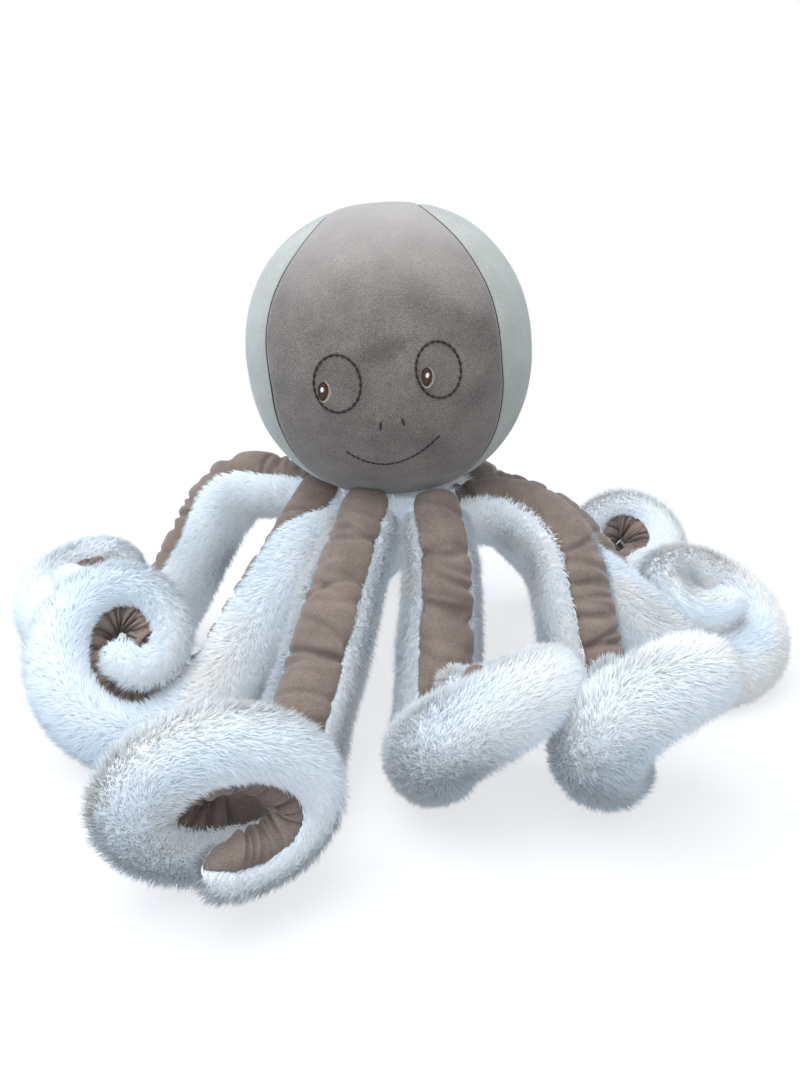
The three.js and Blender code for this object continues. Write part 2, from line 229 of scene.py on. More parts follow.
def own_copy(source, name):
    """A copy of an object, with a mesh of its own."""
    piece = source.copy()
    piece.data = source.data.copy()
    piece.name = name
    piece.data.name = name
    bpy.context.scene.collection.objects.link(piece)
    return piece


def modify(piece, kind, **settings):
    """Adds a modifier with these settings to the active piece, and applies it."""
    change = piece.modifiers.new(kind, kind)
    for name, value in settings.items():
        setattr(change, name, value)
    bpy.ops.object.modifier_apply(modifier=change.name)


def thicken(piece, thickness):
    """Gives a skin its cloth's thickness, inwards, and smooth shading."""
    select_only(piece)
    modify(piece, "SOLIDIFY", thickness=thickness, offset=-1)
    bpy.ops.object.shade_smooth()


def panel_of_ball(name, wanted):
    """A copy of the ball with only the faces wanted, given its cloth's thickness."""
    panel = own_copy(head_ball, name)
    sheet = bmesh.new()
    sheet.from_mesh(panel.data)
    unwanted = []
    for face in sheet.faces:
        row = sum(rows[v.index] for v in face.verts) / len(face.verts)
        if not wanted(row, (into_head @ face.calc_center_median()).x):
            unwanted.append(face)
    bmesh.ops.delete(sheet, geom=unwanted, context="FACES")
    sheet.to_mesh(panel.data)
    sheet.free()
    thicken(panel, panel_thickness)
    modify(panel, "SUBSURF", levels=1)
    return panel


head_face = panel_of_ball("head_face_velour", lambda row, x: row < seam_row)
head_left = panel_of_ball("head_side_left_velour", lambda row, x: row > seam_row and x < 0)
head_right = panel_of_ball("head_side_right_velour", lambda row, x: row > seam_row and x > 0)
bpy.data.objects.remove(head_ball)


def srgb(code):
    """A hex colour, turned to linear light."""
    parts = [int(code[i:i + 2], 16) / 255 for i in (1, 3, 5)]
    return (*[p / 12.92 if p <= 0.04045 else ((p + 0.055) / 1.055) ** 2.4 for p in parts], 1)


def add_node(tree, kind, settings=(), **inputs):
    """Adds a node. An input is a value, or the output of another node that it is linked to."""
    node = tree.nodes.new(kind)
    for name, value in dict(settings).items():
        setattr(node, name, value)
    for name, value in inputs.items():
        socket = node.inputs[int(name[1:])] if name[0] == "_" else node.inputs[name.replace("_", " ")]
        if isinstance(value, bpy.types.NodeSocket):
            tree.links.new(value, socket)
        else:
            socket.default_value = value
    return node


def ramp(tree, value, low, high, **ends):
    """A share that rises from 0 to 1, or between the ends given, as a value goes from low to high."""
    return add_node(tree, "ShaderNodeMapRange", Value=value, From_Min=low, From_Max=high, **ends).outputs[0]


def blend(tree, share, first, second, kind="MIX"):
    """The colour at a share of the way from the first to the second."""
    settings = {"data_type": "RGBA", "blend_type": kind}
    return add_node(tree, "ShaderNodeMix", settings, _0=share, _6=first, _7=second).outputs[2]


# Velour: a knitted polyester cloth with a short, brushed pile. The pile scatters light, so it is matt, it
# lightens towards its edges, and it looks lighter or darker where it was stroked one way or the other. Its
# grain is really about 0.2 mm, and is drawn three times as coarse so that it shows.
velour_grain = 0.6 * mm
noise_low, noise_high = 0.3, 0.7
# Where velour faces up more steeply than this, its colour is painted paler towards this tint: painted light
# from above.
painted_light_start = 0.25
painted_light_tint = "#D3C8C2"


def brushed_velour(name, base, stroked, grain, stroke_size, depth, sheen, painted_light_share=0.0):
    """Velour of two tones, with a darker grain. The last value is how far it is painted paler where it faces
    up: painted light from above.
    """
    cloth = bpy.data.materials.new(name)
    cloth.use_nodes = True
    tree = cloth.node_tree
    tree.nodes.clear()
    place = add_node(tree, "ShaderNodeTexCoord").outputs["Object"]
    stroke = add_node(
        tree, "ShaderNodeTexNoise", Vector=place, Scale=1 / stroke_size, Detail=3.0, Roughness=0.55,
    )
    fine = add_node(
        tree, "ShaderNodeTexNoise", Vector=place, Scale=1 / velour_grain, Detail=2.0, Roughness=0.6,
    )
    stroke_share = ramp(tree, stroke.outputs["Fac"], noise_low, noise_high)
    grain_share = ramp(tree, fine.outputs["Fac"], noise_low, noise_high)
    colour = blend(tree, stroke_share, srgb(base), srgb(stroked))
    grained = blend(tree, grain_share, colour, srgb(grain), "MULTIPLY")
    # Painted light: the colour is painted paler where the cloth faces up.
    facing = add_node(tree, "ShaderNodeNewGeometry").outputs["Normal"]
    upward = add_node(tree, "ShaderNodeSeparateXYZ", Vector=facing).outputs["Z"]
    painted_lit = blend(tree, ramp(tree, upward, painted_light_start, 1.0, To_Max=painted_light_share), grained, srgb(painted_light_tint))
    bump = add_node(tree, "ShaderNodeBump", Height=fine.outputs["Fac"], Strength=0.6, Distance=depth)
    shader = add_node(
        tree, "ShaderNodeBsdfPrincipled", Base_Color=painted_lit, Roughness=0.95,
        Sheen_Weight=sheen, Sheen_Roughness=0.45, Specular_IOR_Level=0.15, Normal=bump.outputs[0],
    )
    add_node(tree, "ShaderNodeOutputMaterial", Surface=shader.outputs[0])
    return cloth


# The face's velour is a greyed brown, and the sides' is a pale, cool cream. Where the brown velour faces up,
# over the crown, it is painted paler: painted light from above.
taupe_velour = brushed_velour(
    "taupe_velour", base="#857A74", stroked="#A2968E", grain="#A6A19E",
    stroke_size=24 * mm, depth=0.5 * mm, sheen=0.4, painted_light_share=0.5,
)
cream_velour = brushed_velour(
    "cream_velour", base="#BBBBB4", stroked="#CBCBC4", grain="#D6D5D0",
    stroke_size=30 * mm, depth=0.4 * mm, sheen=0.3,
)

for panel, cloth, slot, replaced in (
    (head_face, taupe_velour, "taupe_velour", ("head_face_panel", "head_filling")),
    (head_left, cream_velour, "cream_velour", ("head_side_panel_left",)),
    (head_right, cream_velour, "cream_velour", ("head_side_panel_right",)),
):
    panel.data.materials.clear()
    panel.data.materials.append(cloth)
    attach(panel, "head")
    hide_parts(*replaced)

# Seams of the head: the panels are sewn together along their edges with polyester thread, which lies as a
# fine line down in the fold between them. Its dark colour is painted shade of that fold.
seam_thread_radius = 0.42 * mm
seam_points = 150


def plain_material(name, colour, **inputs):
    """A material of one colour, with these values for its shader's other inputs."""
    material = bpy.data.materials.new(name)
    material.use_nodes = True
    shader = material.node_tree.nodes["Principled BSDF"]
    for key, value in {"Base_Color": srgb(colour), **inputs}.items():
        shader.inputs[key.replace("_", " ")].default_value = value
    return material


# The thread's dark colour is painted shade of the fold that it lies in.
painted_shade_seam_thread = plain_material("seam_thread_painted_shade", "#453C38", Roughness=0.9)
for name, sign in (("head_seam_left", -1), ("head_seam_right", 1)):
    line = bpy.data.curves.new(name, "CURVE")
    line.dimensions = "3D"
    line.bevel_depth = seam_thread_radius
    line.bevel_resolution = 1
    course = line.splines.new("POLY")
    course.points.add(seam_points - 1)
    course.use_cyclic_u = True
    for i, point in enumerate(course.points):
        band = -90 + 360 * i / seam_points
        seam_side = math.degrees(seam_half(band) / (head_width / 2))
        place, _ = head_shape(sign * seam_side, band, 0)
        point.co = (*(head_matrix @ place), 1)
    thread = bpy.data.objects.new(name, line)
    bpy.context.scene.collection.objects.link(thread)
    select_only(thread)
    bpy.ops.object.convert(target="MESH")
    bpy.ops.object.shade_smooth()
    thread = bpy.context.object
    thread.data.materials.append(painted_shade_seam_thread)
    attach(thread, "head")

# Embroidery: eye rings, nostrils and smile in backstitch, and pupils in satin stitch, with dark thread.
# Every stitch lies on the velour where the picture shows it, so its ends are given as pixels.
ring_thread = 1.5 * mm
smile_thread = 1.0 * mm
nostril_thread = 1.2 * mm
thread_flatness = 0.9
stitch_rise = 0.3 * mm
ring_stitches = 24
ring_tilt = math.radians(-7)
eyes = {
    "left": {"ring": (337.3, 383.6), "size": (47, 58), "pupil": (323.2, 391.4), "light": (322.8, 389.5)},
    "right": {"ring": (438.4, 369.5), "size": (45, 57), "pupil": (426.8, 376.9), "light": (427.2, 375.2)},
}
pupil_size = (12.5, 18.5)
nostrils = [((381.1, 421.5), (380.1, 430.6)), ((402.2, 418), (404.3, 426.1))]
smile = [(346, 451), (385, 464), (440, 435)]
smile_stitches = 19

face_surface = BVHTree.FromObject(head_face, bpy.context.evaluated_depsgraph_get())


def on_face(x, y, rise=0.0):
    """The point of the face that the picture shows at a pixel, and the way out from the cloth there."""
    place, out, _, _ = face_surface.ray_cast(camera_place, ray_through(x, y))
    return place + out * rise, out


bpy.ops.object.select_all(action="DESELECT")
bpy.ops.mesh.primitive_uv_sphere_add(segments=10, ring_count=8, radius=0.5)
stitch_shape = bpy.context.object
stitch_shape.name = "stitch_shape"


def thread_between(a, b, out, wide, high, longer=0.0):
    """A length of thread from one point to another, round in the middle and drawn in at its ends."""
    ahead = (b - a).normalized()
    side = out.cross(ahead).normalized()
    turn = Matrix((side, ahead, ahead.cross(side))).transposed().to_4x4()
    size = Matrix.Diagonal((wide, (b - a).length + longer, high, 1))
    piece = own_copy(stitch_shape, "stitch")
    piece.data.transform(Matrix.Translation((a + b) / 2) @ turn @ size)
    return piece


def lay_stitch(start, end, thread):
    """One backstitch between two pixels."""
    (a, out_a), (b, out_b) = on_face(*start, stitch_rise), on_face(*end, stitch_rise)
    return thread_between(a, b, (out_a + out_b).normalized(), thread, thread * thread_flatness)


def join_as(name, parts):
    """Joins pieces into one, with its place in its mesh."""
    select_only(*parts)
    bpy.ops.object.join()
    joined = bpy.context.object
    joined.name = name
    joined.data.name = name
    bpy.ops.object.shade_smooth()
    return joined


def ring_point(eye, angle):
    """The pixel at an angle round an eye's ring."""
    (x, y), (wide, high) = eye["ring"], eye["size"]
    cos, sin = math.cos(ring_tilt), math.sin(ring_tilt)
    across, up = wide / 2 * math.cos(angle), high / 2 * math.sin(angle)
    return (x + across * cos - up * sin, y + across * sin + up * cos)


def smile_point(share):
    """The pixel at a share of the smile's length, on the arc through its three points."""
    (x0, y0), (x1, y1), (x2, y2) = smile
    mid = (x1 - x0) / (x2 - x0)
    y = (
        y0 * (share - mid) * (share - 1) / mid
        + y1 * share * (share - 1) / (mid * (mid - 1))
        + y2 * share * (share - mid) / (1 - mid)
    )
    return (x0 + (x2 - x0) * share, y)


# Embroidery thread is twisted rayon, with a slight gloss: nearly black brown for the lines, a redder brown
# and white for the pupils and their lights, and beige round them.
dark_thread, pupil_thread, white_thread, beige_thread = [
    plain_material(name, colour, Roughness=roughness, Specular_IOR_Level=0.35)
    for name, colour, roughness in (
        ("dark_brown_thread", "#2A1F1B", 0.5), ("brown_satin_thread", "#5A3220", 0.45),
        ("white_thread", "#FFFFFF", 0.5), ("beige_thread", "#B9A795", 0.55),
    )
]

dark_stitches = []
for eye in eyes.values():
    step = 2 * math.pi / ring_stitches
    for i in range(ring_stitches):
        start, end = ring_point(eye, i * step), ring_point(eye, (i + 1) * step)
        dark_stitches.append(lay_stitch(start, end, ring_thread))
for start, end in nostrils:
    dark_stitches.append(lay_stitch(start, end, nostril_thread))
for i in range(smile_stitches):
    start, end = smile_point(i / smile_stitches), smile_point((i + 1) / smile_stitches)
    dark_stitches.append(lay_stitch(start, end, smile_thread))
face_lines = join_as("face_backstitch", dark_stitches)
face_lines.data.materials.append(dark_thread)


# Satin stitch: threads side by side that slant a little, overlap and arch over the patch. A thread is so many
# millimetres wide for each pixel of its row. Each layer of a pupil has its shift and its extra size in
# pixels, its number of threads, its rise and its thread.
satin_slant = 0.4
satin_thread = 0.75
satin_overlap = 1.15
satin_overhang = 0.5 * mm
pupil_layers = [
    ("pupil_rim", (0.7, 0.9), (1.8, 1.9), 17, 0.35 * mm, beige_thread),
    ("pupil_edge", (0, 0), (0, 0), 15, 0.6 * mm, dark_thread),
    ("pupil", (0, 0), (-4, -4.5), 12, 0.95 * mm, pupil_thread),
]
light_size = (4.2, 4.6)
light_threads = 4
light_rise = 1.35 * mm


def satin_patch(name, middle, size, threads, rise, colour):
    """An ellipse filled with parallel threads that arch over it from edge to edge."""
    parts = []
    for i in range(threads):
        up = (i + 0.5) / threads * 2 - 1
        half = size[0] / 2 * math.sqrt(1 - up * up)
        y = middle[1] + up * size[1] / 2
        a, out = on_face(middle[0] - half, y + satin_slant)
        b, _ = on_face(middle[0] + half, y - satin_slant)
        thick = size[1] / threads * satin_thread * mm
        parts.append(thread_between(a, b, out, thick * satin_overlap, rise * 2, satin_overhang))
    patch = join_as(name, parts)
    patch.data.materials.append(colour)
    return patch


embroidery = [face_lines]
for side, eye in eyes.items():
    (x, y), (wide, high) = eye["pupil"], pupil_size
    for name, shift, extra, threads, rise, colour in pupil_layers:
        middle, size = (x + shift[0], y + shift[1]), (wide + extra[0], high + extra[1])
        embroidery.append(satin_patch(f"{name}_{side}", middle, size, threads, rise, colour))
    name = f"pupil_light_{side}"
    embroidery.append(satin_patch(name, eye["light"], light_size, light_threads, light_rise, white_thread))
for piece in embroidery:
    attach(piece, "head")
bpy.data.objects.remove(stitch_shape)

# Arms: each is a tube of long-pile plush with a taupe velour strip sewn in along its upper side, stuffed
# with fibre and sewn to the body by its round root. The strip is cut shorter, which curls the arm's end.
root_ring_radius = 55 * mm
root_height = 125 * mm
root_radius = 20 * mm
arm_radius = 22.5 * mm
curl_radius = 19 * mm
tip_radius = 12 * mm
swell_length = 80 * mm
curl_thinning = 0.3
strip_half_angle = 57
rest_cut = 0.5 * mm
trial_fall = 60 * mm
walk_step = 2 * mm
curl_walk_step = 3.0
dome_rings = 7

# How each arm lies, in degrees and millimetres, from its root to its tip: its place in the ring, where 0 is
# the front and 90 the viewer's right, how it leaves the root, its bends, turns and twists, and its curl.
straight = dict.fromkeys((
    "yaw", "pitch", "root_twist", "knee_length", "knee", "knee_turn", "arm_twist", "roll_length",
    "roll_turn", "roll", "oval",
), 0)
poses = {
    "front_left": dict(
        azimuth=-22.5, yaw=-4, pitch=-35, reach=14, knee_length=40, knee=8, foot_length=34, foot=48,
        foot_turn=8, roll_length=28, roll_turn=38, roll=-6, curl=375, loop=38, loop_end=25, oval=0.42,
        drift=-42,
    ),
    "front_right": dict(
        azimuth=22.5, yaw=7, pitch=-52, reach=8, knee_length=40, knee=12, knee_turn=10, arm_twist=-5,
        foot_length=50, foot=90, foot_turn=36, roll_length=18, roll=-44, curl=352, loop=39, loop_end=14,
        oval=-0.15, drift=26,
    ),
    "side_left": dict(
        azimuth=-67.5, yaw=-28, pitch=-45, reach=24, root_twist=50, foot_length=58, foot=52,
        foot_turn=-12, curl=408, loop=45, loop_end=9, oval=-0.2, drift=-30,
    ),
    "side_right": dict(
        azimuth=67.5, pitch=14, reach=4, knee_length=72, knee=72, knee_turn=37, foot_length=50, foot=60,
        foot_turn=82, roll_length=18, roll=-20, curl=390, loop=37, loop_end=14, drift=27,
    ),
    "rear_left": dict(
        azimuth=-112.5, reach=50, knee_length=42, knee=64, knee_turn=-34, foot_length=42, foot=58,
        foot_turn=-4, roll_length=18, roll=52, curl=395, loop=37, loop_end=15, drift=-32,
    ),
    "rear_right": dict(
        azimuth=112.5, yaw=32, pitch=-20, reach=36, knee_length=40, knee=24, knee_turn=24, arm_twist=-74,
        foot_length=56, foot=50, foot_turn=18, curl=395, loop=47, loop_end=16, drift=26,
    ),
    "back_left": dict(
        azimuth=-157.5, yaw=20, pitch=-30, reach=16, knee_length=30, knee=18, foot_length=50, foot=50,
        foot_turn=20, curl=400, loop=46, loop_end=14, drift=38,
    ),
    "back_right": dict(
        azimuth=157.5, yaw=20, pitch=-14, reach=24, knee_length=46, knee=34, knee_turn=26, foot_length=50,
        foot=48, foot_turn=20, roll_length=20, roll=-34, curl=465, loop=36, loop_end=14, oval=-0.2,
        drift=-32,
    ),
}


class Walker:
    """Walks along an arm's middle line and knows which way is ahead, sideways and up, the velour's side."""

    def __init__(self, pose):
        azimuth = math.radians(pose["azimuth"])
        self.ahead = Vector((math.sin(azimuth), -math.cos(azimuth), 0))
        self.place = toy_middle + self.ahead * root_ring_radius + Vector((0, 0, root_height))
        self.up = Vector((0, 0, 1))
        self.side = self.ahead.cross(self.up)
        self.turn_by(0, pose["yaw"], 0)
        self.turn_by(pose["pitch"], 0, 0)

    def turn_by(self, bend, turn, twist):
        about = Quaternion(self.side, math.radians(bend))
        self.ahead.rotate(about)
        self.up.rotate(about)
        about = Quaternion(self.up, math.radians(-turn))
        self.ahead.rotate(about)
        self.side.rotate(about)
        about = Quaternion(self.ahead, math.radians(twist))
        self.up.rotate(about)
        self.side.rotate(about)

    def step(self, length, bend, turn, twist):
        self.turn_by(bend / 2, turn / 2, twist / 2)
        self.place = self.place + self.ahead * length
        self.turn_by(bend / 2, turn / 2, twist / 2)

    def ring(self, along, radius, ahead=0.0, curl=0.0):
        return {
            "along": along + ahead, "place": self.place + self.ahead * ahead, "radius": radius, "curl": curl,
            "ahead": self.ahead.copy(), "side": self.side.copy(), "up": self.up.copy(),
        }


def arm_rings(pose, fall):
    """Rings along the arm's middle line, with the radius of the stuffed tube at each."""
    walker = Walker(pose)
    dome = [math.radians(90 * (i + 1) / dome_rings) for i in range(dome_rings)]
    rings = [walker.ring(0, root_radius * math.sin(a), -root_radius * math.cos(a)) for a in dome]
    along = 0
    for length, bend, turn, twist in (
        (pose["reach"] * mm, 0, 0, pose["root_twist"]),
        (pose["knee_length"] * mm, -pose["knee"], pose["knee_turn"], 0),
        (fall, 0, 0, pose["arm_twist"]),
        (pose["foot_length"] * mm, pose["foot"], pose["foot_turn"], 0),
        (pose["roll_length"] * mm, 0, pose["roll_turn"], pose["roll"]),
    ):
        steps = math.ceil(length / walk_step)
        for _ in range(steps):
            walker.step(length / steps, bend / steps, turn / steps, twist / steps)
            along += length / steps
            radius = between(root_radius, arm_radius, smooth(along, 0, swell_length))
            rings.append(walker.ring(along, radius))
    steps = round(pose["curl"] / curl_walk_step)
    step = pose["curl"] / steps
    for i in range(steps):
        share = (i + 0.5) / steps
        flattening = 1 + pose["oval"] * math.cos(2 * share * math.radians(pose["curl"]))
        bend_radius = between(pose["loop"], pose["loop_end"], share) * mm * flattening
        length = 2 * bend_radius * math.sin(math.radians(step / 2))
        walker.step(length, step, 0, 0)
        walker.place = walker.place + walker.side * (pose["drift"] * mm / steps)
        along += length
        end = (i + 1) / steps
        if end < curl_thinning:
            radius = between(arm_radius, curl_radius, end / curl_thinning)
        else:
            radius = between(curl_radius, tip_radius, (end - curl_thinning) / (1 - curl_thinning))
        rings.append(walker.ring(along, radius, 0, end))
    rings += [walker.ring(along, tip_radius * math.cos(a), tip_radius * math.sin(a), 1.0) for a in dome[:-1]]
    return rings


def lowest_point(rings):
    """The height of the lowest point of the tube round these rings."""
    return min(r["place"].z - r["radius"] * math.sqrt(max(0, 1 - r["ahead"].z ** 2)) for r in rings)


def rings_to_ground(pose):
    """An arm's rings, with its straight fall as long as brings its underside to the ground."""
    height = lowest_point(arm_rings(pose, trial_fall))
    slope = (lowest_point(arm_rings(pose, trial_fall + mm)) - height) / mm
    return arm_rings(pose, trial_fall - (height + rest_cut) / slope)


# Two covers lie turned round their stuffing, by the first angle down the fall and by the second in the curl.
# The turn grows over the first length from the root, and changes over the second length before the curl.
strip_turns = {"side_left": (24, 0), "rear_right": (-10, -65)}
turned_by = 30 * mm
turned_over = 50 * mm


class Path:
    """An arm's middle line as arrays, to be looked up at any distance along it."""

    def __init__(self, rings, strip_turn):
        for quantity in rings[0]:
            setattr(self, quantity, np.array([ring[quantity] for ring in rings]))
        self.bend = (np.gradient(self.ahead, self.along, axis=0) * self.up).sum(1)
        start = self.along[self.curl > 0][0]
        in_fall, in_curl = strip_turn
        places = [0, turned_by, start - turned_over, start, self.along[-1]]
        self.strip_turn = np.interp(self.along, places, [0, in_fall, in_fall, in_curl, in_curl])

    def at(self, values, along):
        """One of the arrays, looked up at distances along the arm."""
        if values.ndim == 1:
            return np.interp(along, self.along, values)
        return np.stack([np.interp(along, self.along, values[:, k]) for k in range(3)], axis=-1)

    def frame_at(self, along):
        """The ways ahead, sideways and up at distances along the arm."""
        ways = [self.at(way, along) for way in (self.ahead, self.side, self.up)]
        return [way / np.linalg.norm(way, axis=-1, keepdims=True) for way in ways]

    def around(self, along, angle, radius):
        """Points beside the middle line, and the way out from it. Angle 0 is the middle of the strip."""
        _, side, up = self.frame_at(along)
        a = np.radians(angle + self.at(self.strip_turn, along))
        out = up * np.cos(a)[..., None] + side * np.sin(a)[..., None]
        return self.at(self.place, along) + out * np.asarray(radius)[..., None], out


noise_waves = 7
noise_strength = 3.2


def soft_noise(seed, *coordinates):
    """Smooth noise from a few crossing waves, between about -1 and 1, the same on every run."""
    rng = np.random.default_rng(seed)
    total = 0
    for _ in range(noise_waves):
        phase = rng.uniform(0, 2 * math.pi)
        waves = sum(c * rng.normal() for c in coordinates)
        total = total + np.sin(waves + phase)
    return total / noise_strength


def grid_mesh(name, points):
    """A skin over a grid of points, with rows along the arm and columns round it."""
    index = np.arange(points[..., 0].size).reshape(points.shape[:2])
    corners = [index[:-1, :-1], index[:-1, 1:], index[1:, 1:], index[1:, :-1]]
    quads = np.stack(corners, axis=-1).reshape(-1, 4)
    mesh = bpy.data.meshes.new(name)
    mesh.from_pydata([tuple(p) for p in points.reshape(-1, 3)], [], quads.tolist())
    mesh.update()
    piece = bpy.data.objects.new(name, mesh)
    bpy.context.scene.collection.objects.link(piece)
    return piece


# The plush's knitted backing lies on the stuffing, a little uneven, and is pressed flat on the ground. Its
# edges are drawn in to the seams with the strip. Spreads round the arm are in degrees.
cloth_lowest = 1.2 * mm
least_radius = 0.3 * mm
uneven_depth = 0.6 * mm
uneven_length = 24 * mm
uneven_round = 1.3
uneven_seed = 3
backing_inset = 0.8 * mm
backing_step = 4 * mm
backing_columns = 18
backing_thickness = 1 * mm
edge_draw = 2.2 * mm
edge_spread = 7.0


def backing_radius(path, along, angle):
    """The radius of the backing: drawn in at the seams, and a little uneven where the stuffing is."""
    from_edge = np.minimum(angle - strip_half_angle, 360 - strip_half_angle - angle)
    draw = edge_draw * np.exp(-np.clip(from_edge, 0, None) / edge_spread)
    radius = path.at(path.radius, along)
    uneven = uneven_depth * radius / arm_radius
    uneven *= soft_noise(uneven_seed, along / uneven_length, np.radians(angle) * uneven_round)
    return np.maximum(radius - backing_inset - draw + uneven, least_radius)


def plush_backing(name, path):
    count = math.ceil((path.along[-1] - path.along[0]) / backing_step)
    along = np.linspace(path.along[0], path.along[-1], count)
    angle = np.linspace(strip_half_angle, 360 - strip_half_angle, backing_columns + 1)
    s, a = np.meshgrid(along, angle, indexing="ij")
    points, _ = path.around(s, a, backing_radius(path, s, a))
    points[..., 2] = np.maximum(points[..., 2], cloth_lowest)
    piece = grid_mesh(name, points)
    thicken(piece, backing_thickness)
    return piece


# The velour strip: the seams gather it, so folds cross it, the deeper and closer the more the arm bends
# towards it, and in a tight curl it swells inwards. Pairs are the least and the most of a chance value, and
# the folds' widths are in millimetres.
strip_step = 1.1 * mm
strip_columns = 20
strip_thickness = 0.8 * mm
strip_inset = 0.6 * mm
root_fullness = 4.0
swell_straight = 1.0 * mm
swell_bent = 7.0 * mm
fold_spacing_straight = 13 * mm
fold_spacing_bent = 7.5 * mm
fold_depth_straight = 2.5 * mm
fold_depth_bent = 4.2 * mm
fold_depth_limit = 1.2
least_fold_share = 0.2
fold_depth_share = (0.15, 1.4)
fold_spacing_share = (0.45, 1.6)
fold_width_straight = (1.3, 3.2)
fold_width_bent = (1.4, 2.1)
fold_wander = 2.5 * mm
fold_slant = 4.5 * mm
fold_bow = 3.0 * mm
fold_reach = (0.5, 1.2)
fold_fade_place = 0.35
fold_fade_rate = 5
first_fold = 3 * mm
bend_of_tight_curl = 25.0


def strip_folds(seed, path, along, angle):
    """How far the folds draw the strip in: slanting creases from either seam, some right across."""
    rng = np.random.default_rng(seed)
    depth = np.zeros_like(along)
    place = first_fold
    while place < path.along[-1]:
        bent = float(np.clip(path.at(path.bend, place) / bend_of_tight_curl, 0, 1))
        for side in (-1, 1):
            middle = place + rng.normal(0, fold_wander)
            slant = rng.normal(0, fold_slant)
            bow = rng.normal(0, fold_bow)
            reach = rng.uniform(*fold_reach) + bent
            width = between(rng.uniform(*fold_width_straight), rng.uniform(*fold_width_bent), bent) * mm
            deep = between(fold_depth_straight, fold_depth_bent, bent) * rng.uniform(*fold_depth_share)
            across = side * angle / strip_half_angle
            fade = 1 / (1 + np.exp(-(across + reach - fold_fade_place) * fold_fade_rate))
            line = along - middle - slant * (1 - across) - bow * across ** 2
            depth += deep * fade * np.exp(-((line / width) ** 2))
        place += between(fold_spacing_straight, fold_spacing_bent, bent) * rng.uniform(*fold_spacing_share)
    return np.minimum(depth, fold_depth_bent * fold_depth_limit)


def velour_strip(name, path, seed):
    count = math.ceil((path.along[-1] - path.along[0]) / strip_step)
    along = np.linspace(path.along[0], path.along[-1], count)
    angle = np.linspace(-strip_half_angle, strip_half_angle, strip_columns + 1)
    s, a = np.meshgrid(along, angle, indexing="ij")
    radius = path.at(path.radius, s)
    from_edge = strip_half_angle - np.abs(a)
    bent = np.clip(path.at(path.bend, s) / bend_of_tight_curl, 0, 1)
    swell = between(swell_straight, swell_bent, bent) * np.sin(from_edge / strip_half_angle * math.pi / 2)
    draw = edge_draw * np.exp(-from_edge / edge_spread)
    folds = strip_folds(seed, path, s, a) * np.clip(radius / arm_radius, least_fold_share, 1)
    radius = np.maximum(radius - strip_inset + swell - draw - folds, least_radius)
    from_root = 1 - np.clip(1 + s / root_radius, 0, 1)
    round_end = np.sqrt(np.maximum(1 - from_root ** 2, 1e-4))
    blunt_end = (1 - from_root ** root_fullness) ** (1 / root_fullness)
    radius *= np.where(s < 0, blunt_end / round_end, 1)
    points, _ = path.around(s, a, radius)
    points[..., 2] = np.maximum(points[..., 2], cloth_lowest)
    piece = grid_mesh(name, points)
    thicken(piece, strip_thickness)
    return piece


# Long pile: locks of fine fibre, about 9 mm long, that lean along the arm and away from the strip. Each
# lock is a slim pointed strand, and neighbours draw together at their tips. Real fibres are far finer, and
# a strand is drawn as thick as a lock of them so that it shows.
pile_strands = 59000
pile_length = 9.5 * mm
pile_length_share = (0.6, 1.12)
pile_width = 0.53 * mm
strand_wide, strand_deep = 1.25, 0.6
strand_sides = (90, 210, 330)
pile_lowest = 0.3 * mm
pile_lean = 52.0
pile_spread = 15.0
lean_least, lean_most = 8, 80
pile_sway = 0.42
tuft_size = 5.0 * mm
tuft_draw = 0.42
tuft_draw_share = (0.4, 1.2)
shade_middle = 0.3
shade_roundness = 0.18
tiny = 1e-9


def strands_mesh(name, root, out, tip, material_index):
    """Pointed strands, each a spike of three sides that stands with its root in the backing.

    They are shaded mostly as the cloth under them faces, so that the pile looks soft.
    """
    count = len(root)
    line = tip - root
    line_unit = line / np.linalg.norm(line, axis=1, keepdims=True)
    flat = np.cross(line_unit, out)
    flat /= np.linalg.norm(flat, axis=1, keepdims=True) + tiny
    deep = np.cross(line_unit, flat)
    corners = []
    for turn in strand_sides:
        a = math.radians(turn)
        away = flat * math.cos(a) * strand_wide + deep * math.sin(a) * strand_deep
        corners.append(root + away * pile_width / 2)
    points = np.stack([*corners, tip], axis=1).reshape(-1, 3)
    points[:, 2] = np.maximum(points[:, 2], pile_lowest)
    first = np.arange(count) * 4
    sides = [(0, 1, 3), (1, 2, 3), (2, 0, 3)]
    faces = np.stack([first[:, None] + np.array(s) for s in sides], axis=1).reshape(-1, 3)
    mesh = bpy.data.meshes.new(name)
    mesh.vertices.add(len(points))
    mesh.vertices.foreach_set("co", points.astype(np.float32).ravel())
    mesh.loops.add(len(faces) * 3)
    mesh.loops.foreach_set("vertex_index", faces.astype(np.int32).ravel())
    mesh.polygons.add(len(faces))
    mesh.polygons.foreach_set("loop_start", np.arange(0, len(faces) * 3, 3, dtype=np.int32))
    mesh.polygons.foreach_set("loop_total", np.full(len(faces), 3, np.int32))
    mesh.polygons.foreach_set("material_index", np.repeat(material_index, 3).astype(np.int32))
    mesh.polygons.foreach_set("use_smooth", np.ones(len(faces), bool))
    mesh.update(calc_edges=True)
    facing = np.repeat(out, 4, axis=0)
    facing += (points - np.repeat(root + line * shade_middle, 4, axis=0)) / pile_width * shade_roundness
    facing /= np.linalg.norm(facing, axis=1, keepdims=True) + tiny
    mesh.normals_split_custom_set_from_vertices(facing.tolist())
    piece = bpy.data.objects.new(name, mesh)
    bpy.context.scene.collection.objects.link(piece)
    return piece


